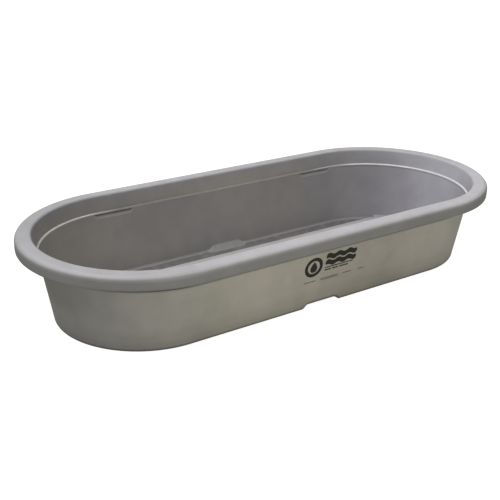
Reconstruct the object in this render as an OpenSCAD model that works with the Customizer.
// Shallow oval stock tank, moulded in one piece, with a screwed drain low on one end wall.
// Millimetres. X runs along the tank towards the drain, Y across it, Z up from the ground.

/* [Overall] */
// Length over the rim
tank_l = 1830; // [1500:10:2200]
// Width over the rim
tank_w = 800; // [700:10:900]
// Height from the ground to the top of the rim
tank_h = 296; // [260:2:360]
// Thickness of the moulded wall
wall_t = 6.5; // [5:0.5:8]

/* [Rim] */
// Width of the rim's top, from the lip to the inner edge
rim_w = 54; // [48:1:60]
// Height of the hanging lip
lip_h = 45; // [36:1:55]
// Radius of the rim's outer corner
rim_round = 19; // [14:1:22]
// Radius of the rim's inner corner
rim_inner_round = 9; // [5:1:12]

/* [Wall] */
// Depth of the ledge below the top of the rim
ledge_drop = 59; // [52:1:68]
// How far the collar above the ledge leans in
collar_lean = 12; // [8:1:14]
// Width of the ledge
ledge_w = 6; // [4:0.5:8]
// How far the wall leans in from the ledge to the ground
wall_lean = 39.5; // [30:0.5:48]
// Radius of the outer bottom corner
foot_round = 8; // [5:1:9]

/* [Floor] */
// Height of the raised floor panel
panel_top = 18; // [16:1:22]
// Half width of the raised floor panel, between the two side gutters
panel_half_w = 220; // [190:5:235]
// Width of the foot under the end walls
foot_w = 16; // [14:1:24]
// Radius where the wall meets the floor
floor_round = 12; // [8:1:14]

/* [Finger reliefs] */
// Height of the relief in the bottom edge of each long side
relief_h = 22; // [16:1:26]
// Depth of the relief at the ground
relief_depth = 25; // [18:1:30]
// Length of the relief at its top
relief_top_l = 118; // [90:2:150]
// Length of the relief at the ground
relief_base_l = 162; // [130:2:200]

/* [Ledge pockets] */
// Distance of each pocket's middle from the middle of the tank
pocket_x = 455; // [380:5:470]
// Length of a pocket
pocket_l = 148; // [100:2:170]
// Height of a pocket
pocket_h = 17; // [12:1:20]
// Depth of a pocket at its top
pocket_depth = 4; // [3:0.5:4.5]

/* [Drain] */
// Height of the drain's axis above the ground
drain_z = 52; // [50:1:60]
// Radius of the drain's bore
drain_r = 17; // [14:0.5:18]
// Radius of the fitting's outer thread
fitting_r = 23; // [22:0.5:24]
// Radius of the fitting's flange
flange_r = 31; // [29:0.5:31]
// Thickness of the fitting's flange
flange_t = 6; // [4:0.5:8]
// Thickness of the gasket under the flange
gasket_t = 3; // [2:0.5:4]
// Thickness of the washer under the lock nut
washer_t = 2; // [1.5:0.5:3]
// Thickness of the lock nut
nut_t = 14; // [10:1:16]
// Width of the lock nut across its flats
nut_flats = 56; // [54:1:60]
// Length of the plug's threaded shank
shank_l = 27; // [20:1:30]
// Radius of the plug's head
head_r = 24; // [22:0.5:27]

/* [Hidden] */
$fn = 96;

grey = [0.62, 0.62, 0.62];
black = [0.10, 0.10, 0.11];
rubber = [0.16, 0.16, 0.16];
steel = [0.62, 0.63, 0.65];

// Plan: two half circles of radius end_r joined by two straight sides.
end_r = tank_w / 2;
straight_h = tank_l / 2 - end_r;

// Heights.
ledge_z = tank_h - ledge_drop;
lip_z = tank_h - lip_h;
gutter_top = wall_t;
panel_under = panel_top - wall_t;

// Radial places, measured from the centre of an end's circle.
rim_in = end_r - rim_w;
collar_foot = rim_in - collar_lean;
ledge_in = collar_foot - ledge_w;
wall_slope = wall_lean / ledge_z;
function inner_r(z) = ledge_in - (ledge_z - z) * wall_slope;
function outer_r(z) = inner_r(z) + wall_t;
foot_in = outer_r(0) - foot_w;

// The drain goes through a flat on the end wall, where the draft is taken out.
flat_r = 42;
flat_out = end_r + straight_h - (end_r - outer_r(drain_z - flat_r)) + 2;
flat_in = flat_out - wall_t;
spotface_r = flange_r + 2.5;
hole_r = fitting_r + 0.5;
fitting_in = flat_in - gasket_t - flange_t;
fitting_out = flat_out + washer_t + nut_t + 6;
seal_t = 2.5;
head_t = 5;
grip_l = 18;
run_gap = 0.05;

// Points of a round corner about (cx, cz), from angle a0 to a1.
function arc(cx, cz, r, a0, a1, n = 6) =
    [for (i = [0:n]) let (a = a0 + (a1 - a0) * i / n) [cx + r * cos(a), cz + r * sin(a)]];

// Sweeps a radial outline, drawn as (distance from the end's centre, height), round the oval.
module around_oval() {
    for (side = [-1, 1])
        translate([side * straight_h, 0, 0])
            rotate([0, 0, -90 * side])
                rotate_extrude(angle = 180) children();
    for (side = [0, 1])
        mirror([0, side, 0])
            translate([-straight_h, 0, 0])
                rotate([90, 0, 90])
                    linear_extrude(2 * straight_h) children();
}

// A flat oval plate of end radius r, from height z0 to z1.
module oval_plate(r, z0, z1) {
    translate([0, 0, z0]) {
        for (side = [-1, 1])
            translate([side * straight_h, 0, 0]) cylinder(r = r, h = z1 - z0);
        translate([-straight_h, -r, 0]) cube([2 * straight_h, 2 * r, z1 - z0]);
    }
}

// A prism along X, from an outline drawn as (y, z).
module along_x(half_l) {
    translate([-half_l, 0, 0]) rotate([90, 0, 90]) linear_extrude(2 * half_l) children();
}

// A prism along Y, from an outline drawn as (x, z).
module along_y(y0, y1) {
    translate([0, y1, 0]) rotate([90, 0, 0]) linear_extrude(y1 - y0) children();
}

// A prism with sloping ends: half length top_h at height z1 and base_h at height z0.
module sloping_ends(z0, z1, base_h, top_h) {
    along_y(0, end_r)
        polygon([[-base_h, z0], [base_h, z0], [top_h, z1], [-top_h, z1]]);
}

// Wall, ledge, collar and rolled rim as one radial outline.
module wall_outline() {
    slope_a = atan(wall_slope);
    foot_cx = outer_r(foot_round) - foot_round;
    floor_cx = inner_r(gutter_top + floor_round) - floor_round;
    polygon(concat(
        [[foot_in - 10, 0]],
        arc(foot_cx, foot_round, foot_round, -90, -slope_a),
        [[outer_r(ledge_z - wall_t), ledge_z - wall_t],
         [collar_foot + wall_t, ledge_z - wall_t + 2]],
        arc(rim_in + wall_t + 4, tank_h - wall_t - 4, 4, 180, 90, 3),
        arc(end_r - rim_round, tank_h - rim_round, rim_round - wall_t, 90, 0),
        [[end_r - wall_t, lip_z + 2], [end_r - wall_t + 2, lip_z], [end_r - 2, lip_z],
         [end_r, lip_z + 2]],
        arc(end_r - rim_round, tank_h - rim_round, rim_round, 0, 90),
        arc(rim_in + rim_inner_round, tank_h - rim_inner_round, rim_inner_round, 90, 180, 4),
        [[collar_foot, ledge_z + 1.5], [collar_foot - 1.5, ledge_z], [ledge_in + 2, ledge_z],
         [ledge_in, ledge_z - 2]],
        arc(floor_cx, gutter_top + floor_round, floor_round, 0, -90, 5),
        [[foot_in - 10, gutter_top]]
    ));
}

// Fills the corner between the raised panel and the end wall.
module corner_outline() {
    cx = inner_r(panel_top + floor_round) - floor_round;
    polygon(concat(
        [[cx - 20, 1], [inner_r(0) + 2, 1],
         [inner_r(panel_top + floor_round) + 2, panel_top + floor_round + 2]],
        arc(cx, panel_top + floor_round, floor_round, 0, -90, 5),
        [[cx - 20, panel_top]]
    ));
}

// The raised middle of the floor, which runs from end wall to end wall.
module floor_panel() {
    riser = 4;
    intersection() {
        union() {
            oval_plate(inner_r(panel_top) + 0.6, 1, panel_top);
            around_oval() corner_outline();
        }
        along_x(tank_l / 2)
            polygon([[-panel_half_w - riser, 0], [panel_half_w + riser, 0],
                     [panel_half_w + riser, gutter_top], [panel_half_w, panel_top],
                     [panel_half_w, panel_top + 40], [-panel_half_w, panel_top + 40],
                     [-panel_half_w, panel_top], [-panel_half_w - riser, gutter_top]]);
    }
}

// The hollow under the raised panel, inside the foot.
module under_panel() {
    intersection() {
        oval_plate(foot_in, -1, panel_under);
        along_x(tank_l / 2)
            translate([-panel_half_w + wall_t, -1]) square([2 * (panel_half_w - wall_t), panel_under + 1]);
    }
}

// The relief's sloping back, from the wall's outside at relief_h down to the ground.
relief_y = outer_r(0) - relief_depth;
relief_run = (outer_r(relief_h) - relief_y) / relief_h;
relief_len = sqrt(1 + relief_run * relief_run);
end_run = (relief_base_l - relief_top_l) / 2 / relief_h;

// Cuts the finger relief out of the bottom edge of the +Y side.
module relief_cut() {
    reach = 40;
    intersection() {
        along_x(relief_base_l)
            polygon([[relief_y - relief_run, -1], [relief_y + reach * relief_run, reach],
                     [relief_y + reach * relief_run, -1]]);
        sloping_ends(-1, relief_h + 4, relief_base_l / 2 + end_run,
                     relief_top_l / 2 - 4 * end_run);
    }
}

// The same relief seen from inside: a sloping block one wall thickness above it.
module relief_block() {
    lift = wall_t * relief_len;
    end_lift = wall_t * sqrt(1 + end_run * end_run);
    back = outer_r(0) - 1;
    block_top = (back - relief_y) / relief_run + lift;
    intersection() {
        along_x(relief_base_l)
            polygon([[relief_y - (lift - 1) * relief_run, 1], [back, 1], [back, block_top]]);
        sloping_ends(0, block_top, relief_base_l / 2 + end_lift,
                     relief_base_l / 2 + end_lift - block_top * end_run);
    }
}

// One undercut pocket just below the ledge of the +Y side.
module pocket_cut() {
    z1 = ledge_z - 3.5;
    z0 = z1 - pocket_h;
    intersection() {
        along_x(pocket_l)
            polygon([[inner_r(z0) - 6, z0 - 2], [inner_r(z0), z0],
                     [inner_r(z1 - 3) + pocket_depth, z1 - 3], [inner_r(z1) + pocket_depth, z1],
                     [inner_r(z1) - 6, z1]]);
        sloping_ends(z0 - 3, z1 + 1, pocket_l / 2 - 10, pocket_l / 2);
    }
}

// A cylinder along the drain's axis, from x0 to x1.
module drain_cyl(x0, x1, r) {
    translate([x0, 0, drain_z]) rotate([0, 90, 0]) cylinder(r = r, h = x1 - x0);
}

// A washer along the drain's axis.
module drain_ring(x0, x1, r_out, r_in) {
    difference() {
        drain_cyl(x0, x1, r_out);
        drain_cyl(x0 - 1, x1 + 1, r_in);
    }
}

// Wall material behind the drain's flat, kept just inside the wall's outer face.
module drain_pad() {
    intersection() {
        drain_cyl(flat_in, flat_in + 40, flat_r + wall_t);
        translate([straight_h, 0, 0])
            cylinder(r1 = outer_r(0) - 1, r2 = outer_r(150) - 1, h = 150);
    }
}

module tank_shell() {
    color(grey) difference() {
        union() {
            around_oval() wall_outline();
            oval_plate(foot_in + 4, 0, gutter_top);
            floor_panel();
            for (side = [0, 1]) mirror([0, side, 0]) relief_block();
            drain_pad();
        }
        under_panel();
        for (side = [0, 1]) mirror([0, side, 0]) {
            relief_cut();
            for (end = [-1, 1]) translate([end * pocket_x, 0, 0]) pocket_cut();
        }
        drain_cyl(flat_out, flat_out + 40, flat_r);
        drain_cyl(flat_in - 30, flat_in, spotface_r);
        drain_cyl(flat_in - 1, flat_out + 1, hole_r);
    }
}

// Flanged sleeve through the wall. The plug screws into its bore.
module drain_fitting() {
    color(black) difference() {
        union() {
            drain_cyl(fitting_in, fitting_in + flange_t, flange_r);
            drain_cyl(fitting_in + 1, fitting_out, fitting_r);
        }
        drain_cyl(fitting_in - 1, fitting_out + 1, drain_r);
    }
}

module drain_flange_gasket() {
    color(rubber) drain_ring(flat_in - gasket_t, flat_in, flange_r, fitting_r + 0.2);
}

module drain_washer() {
    color(steel) drain_ring(flat_out, flat_out + washer_t, flange_r + 2, fitting_r + 0.3);
}

module drain_lock_nut() {
    color(black) difference() {
        translate([flat_out + washer_t, 0, drain_z]) rotate([0, 90, 0]) rotate([0, 0, 30])
            cylinder(r = nut_flats / 2 / cos(30), h = nut_t, $fn = 6);
        drain_cyl(flat_out, flat_out + washer_t + nut_t + 1, fitting_r + run_gap);
    }
}

// Threaded shank, round head and a bar to turn it by.
module drain_plug() {
    head_in = fitting_out + seal_t;
    bar_w = 40;
    bar_t = 9;
    color(black) difference() {
        union() {
            drain_cyl(head_in - shank_l, head_in + 1, drain_r - run_gap);
            drain_cyl(head_in, head_in + head_t, head_r);
            translate([head_in + head_t - 1, -bar_w / 2, drain_z - bar_t / 2])
                cube([grip_l + 1, bar_w, bar_t]);
        }
        drain_cyl(head_in - shank_l - 1, head_in - 3, drain_r - 5);
    }
}

module drain_plug_seal() {
    color(rubber) drain_ring(fitting_out, fitting_out + seal_t, head_r - 1.5, drain_r + 0.3);
}

tank_shell();
drain_fitting();
drain_flange_gasket();
drain_washer();
drain_lock_nut();
drain_plug();
drain_plug_seal();
